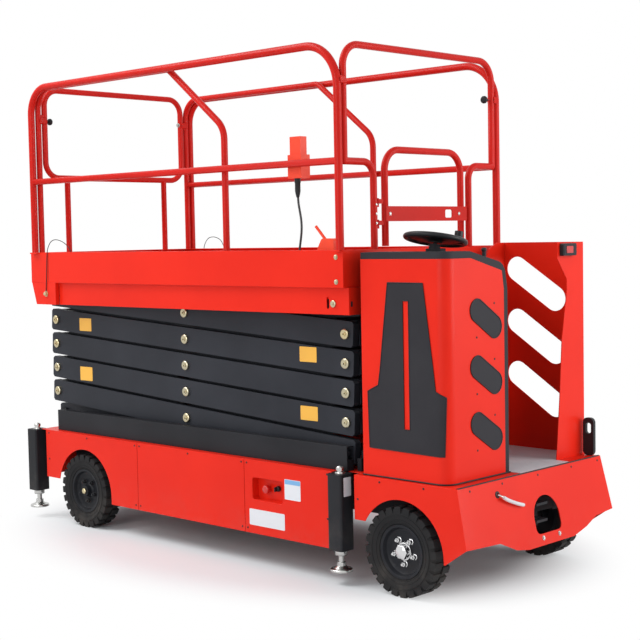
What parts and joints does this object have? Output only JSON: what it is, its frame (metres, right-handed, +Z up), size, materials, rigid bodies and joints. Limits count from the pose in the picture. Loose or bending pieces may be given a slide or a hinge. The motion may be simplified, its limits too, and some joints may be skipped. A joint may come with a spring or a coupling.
{
  "type": "scissor lift",
  "caption": "Self-propelled electric scissor lift with a stand-on driver's cab, steered wheels, outriggers, a railed platform, its slide-out deck and an entry gate.",
  "frame": {"origin": "on the ground under the middle of the overall length and width", "axes": "+X towards the driver's cab, +Z up, +Y to the side away from the dash console's outer face"},
  "size_m": [3.2946, 1.251, 2.5462],
  "materials": {
    "red_paint": "gloss",
    "black_paint": "satin",
    "arm_paint": "satin",
    "dark_plastic": "matt",
    "tyre": "matt",
    "rim_paint": "satin",
    "zinc": "satin",
    "chrome": "polished",
    "battery": "matt",
    "cable": "matt",
    "grey_sheet": "satin",
    "control_red": "gloss"
  },
  "bodies": {
    "chassis": {"chassis_frame": "black_paint", "body_panels": "red_paint", "front_apron": "red_paint", "tow_bracket": "black_paint", "axles": "black_paint", "base_channels": "black_paint", "outrigger_posts": "black_paint", "battery_block": "battery", "ground_controls": "red_paint", "console_core": "dark_plastic", "console_wrap": "red_paint", "console_insets": "dark_plastic", "side_guard": "red_paint", "cab_floor": "grey_sheet", "cab_fittings": "dark_plastic"},
    "knuckle_near": {"knuckle_near": "black_paint"},
    "knuckle_far": {"knuckle_far": "black_paint"},
    "tie_rod": {"tie_rod": "zinc"},
    "steering_wheel": {"steering_wheel": "dark_plastic"},
    "wheel_front_near": {"tyre_front_near": "tyre", "rim_front_near": "rim_paint"},
    "wheel_front_far": {"tyre_front_far": "tyre", "rim_front_far": "rim_paint"},
    "wheel_rear_near": {"tyre_rear_near": "tyre", "rim_rear_near": "rim_paint"},
    "wheel_rear_far": {"tyre_rear_far": "tyre", "rim_rear_far": "rim_paint"},
    "jack_front_near": {"jack_front_near": "zinc"},
    "jack_front_far": {"jack_front_far": "zinc"},
    "jack_rear_near": {"jack_rear_near": "zinc"},
    "jack_rear_far": {"jack_rear_far": "zinc"},
    "inner_1": {"inner_arms_1": "arm_paint"},
    "outer_1": {"outer_arms_1": "arm_paint"},
    "inner_2": {"inner_arms_2": "arm_paint"},
    "outer_2": {"outer_arms_2": "arm_paint"},
    "inner_3": {"inner_arms_3": "arm_paint"},
    "outer_3": {"outer_arms_3": "arm_paint"},
    "inner_4": {"inner_arms_4": "arm_paint"},
    "outer_4": {"outer_arms_4": "arm_paint"},
    "inner_5": {"inner_arms_5": "arm_paint"},
    "outer_5": {"outer_arms_5": "arm_paint"},
    "lift_barrel": {"lift_barrel": "black_paint"},
    "lift_rod": {"lift_rod": "chrome"},
    "platform": {"platform_base": "red_paint", "platform_deck": "red_paint", "main_rails": "red_paint", "end_rails": "red_paint", "deck_controls": "control_red", "control_cable": "cable"},
    "extension": {"slide_deck": "red_paint", "slide_rails": "red_paint"},
    "entry_gate": {"entry_gate": "red_paint"}
  },
  "joints": [
    {"name": "steer_near", "type": "hinge", "parent": "chassis", "child": "knuckle_near", "pos_m": [1.243, -0.444, 0.208], "axis": [0, 0, 1], "range_deg": [-30, 30]},
    {"name": "steer_far", "type": "hinge", "parent": "chassis", "child": "knuckle_far", "pos_m": [1.243, 0.444, 0.208], "axis": [0, 0, 1], "range_deg": [-30.5, 30.5]},
    {"name": "tie_rod_eye", "type": "hinge", "parent": "knuckle_near", "child": "tie_rod", "pos_m": [1.133, -0.444, 0.165], "axis": [0, 0, 1], "range_deg": [-30.5, 30.5]},
    {"name": "steering", "type": "hinge", "parent": "chassis", "child": "steering_wheel", "pos_m": [1.258, -0.315, 1.618], "axis": [0, 0.2079, 0.9781], "range_deg": [-274, 274]},
    {"name": "roll_front_near", "type": "hinge", "parent": "knuckle_near", "child": "wheel_front_near", "pos_m": [1.243, -0.527, 0.208], "axis": [0, 1, 0], "continuous": true},
    {"name": "roll_front_far", "type": "hinge", "parent": "knuckle_far", "child": "wheel_front_far", "pos_m": [1.243, 0.527, 0.208], "axis": [0, 1, 0], "continuous": true},
    {"name": "roll_rear_near", "type": "hinge", "parent": "chassis", "child": "wheel_rear_near", "pos_m": [-1.131, -0.527, 0.208], "axis": [0, 1, 0], "continuous": true},
    {"name": "roll_rear_far", "type": "hinge", "parent": "chassis", "child": "wheel_rear_far", "pos_m": [-1.131, 0.527, 0.208], "axis": [0, 1, 0], "continuous": true},
    {"name": "jack_front_near", "type": "slide", "parent": "chassis", "child": "jack_front_near", "axis": [0, 0, -1], "range_m": [0, 0.15]},
    {"name": "jack_front_far", "type": "slide", "parent": "chassis", "child": "jack_front_far", "axis": [0, 0, -1], "range_m": [0, 0.15]},
    {"name": "jack_rear_near", "type": "slide", "parent": "chassis", "child": "jack_rear_near", "axis": [0, 0, -1], "range_m": [0, 0.15]},
    {"name": "jack_rear_far", "type": "slide", "parent": "chassis", "child": "jack_rear_far", "axis": [0, 0, -1], "range_m": [0, 0.15]},
    {"name": "lift", "type": "hinge", "parent": "chassis", "child": "inner_1", "pos_m": [-1.488, 0, 0.615], "axis": [0, -1, 0], "range_deg": [0, 50]},
    {"name": "cross_1", "type": "hinge", "parent": "inner_1", "child": "outer_1", "pos_m": [-0.32513, 0, 0.6854], "axis": [0, -1, 0], "range_deg": [-100.5, 0.5]},
    {"name": "end_2", "type": "hinge", "parent": "outer_1", "child": "inner_2", "pos_m": [-1.488, 0, 0.7558], "axis": [0, -1, 0], "range_deg": [-0.5, 100.5]},
    {"name": "cross_2", "type": "hinge", "parent": "inner_2", "child": "outer_2", "pos_m": [-0.32513, 0, 0.8262], "axis": [0, -1, 0], "range_deg": [-100.5, 0.5]},
    {"name": "end_3", "type": "hinge", "parent": "outer_2", "child": "inner_3", "pos_m": [-1.488, 0, 0.8966], "axis": [0, -1, 0], "range_deg": [-0.5, 100.5]},
    {"name": "cross_3", "type": "hinge", "parent": "inner_3", "child": "outer_3", "pos_m": [-0.32513, 0, 0.967], "axis": [0, -1, 0], "range_deg": [-100.5, 0.5]},
    {"name": "end_4", "type": "hinge", "parent": "outer_3", "child": "inner_4", "pos_m": [-1.488, 0, 1.0374], "axis": [0, -1, 0], "range_deg": [-0.5, 100.5]},
    {"name": "cross_4", "type": "hinge", "parent": "inner_4", "child": "outer_4", "pos_m": [-0.32513, 0, 1.1078], "axis": [0, -1, 0], "range_deg": [-100.5, 0.5]},
    {"name": "end_5", "type": "hinge", "parent": "outer_4", "child": "inner_5", "pos_m": [-1.488, 0, 1.1782], "axis": [0, -1, 0], "range_deg": [-0.5, 100.5]},
    {"name": "cross_5", "type": "hinge", "parent": "inner_5", "child": "outer_5", "pos_m": [-0.32513, 0, 1.2486], "axis": [0, -1, 0], "range_deg": [-100.5, 0.5]},
    {"name": "platform_level", "type": "hinge", "parent": "outer_5", "child": "platform", "pos_m": [-1.488, 0, 1.319], "axis": [0, -1, 0], "range_deg": [-0.5, 50.5]},
    {"name": "barrel_foot", "type": "hinge", "parent": "inner_1", "child": "lift_barrel", "pos_m": [0.12211, 0, 0.71248], "axis": [0, -1, 0], "range_deg": [-113.29, 0.5]},
    {"name": "rod_stroke", "type": "slide", "parent": "lift_barrel", "child": "lift_rod", "axis": [-0.9985, 0, 0.0556], "range_m": [-0.002, 0.3456]},
    {"name": "deck_slide", "type": "slide", "parent": "platform", "child": "extension", "axis": [-1, 0, 0], "range_m": [0, 0.78]},
    {"name": "gate", "type": "hinge", "parent": "platform", "child": "entry_gate", "pos_m": [0.929, -0.336, 1.75], "axis": [0, 0, 1], "range_deg": [0, 90]}
  ],
  "couplings": [
    {"joint": "steer_far", "follows": "steer_near", "ratio": 1},
    {"joint": "tie_rod_eye", "follows": "steer_near", "ratio": -1},
    {"joint": "steering", "follows": "steer_near", "ratio": 9},
    {"joint": "cross_1", "follows": "lift", "ratio": -2},
    {"joint": "end_2", "follows": "lift", "ratio": 2},
    {"joint": "cross_2", "follows": "lift", "ratio": -2},
    {"joint": "end_3", "follows": "lift", "ratio": 2},
    {"joint": "cross_3", "follows": "lift", "ratio": -2},
    {"joint": "end_4", "follows": "lift", "ratio": 2},
    {"joint": "cross_4", "follows": "lift", "ratio": -2},
    {"joint": "end_5", "follows": "lift", "ratio": 2},
    {"joint": "cross_5", "follows": "lift", "ratio": -2},
    {"joint": "platform_level", "follows": "lift", "ratio": 1},
    {"joint": "barrel_foot", "follows": "lift", "ratio": -2.2557},
    {"joint": "rod_stroke", "follows": "lift", "m_per_rad": 0.39379}
  ]
}
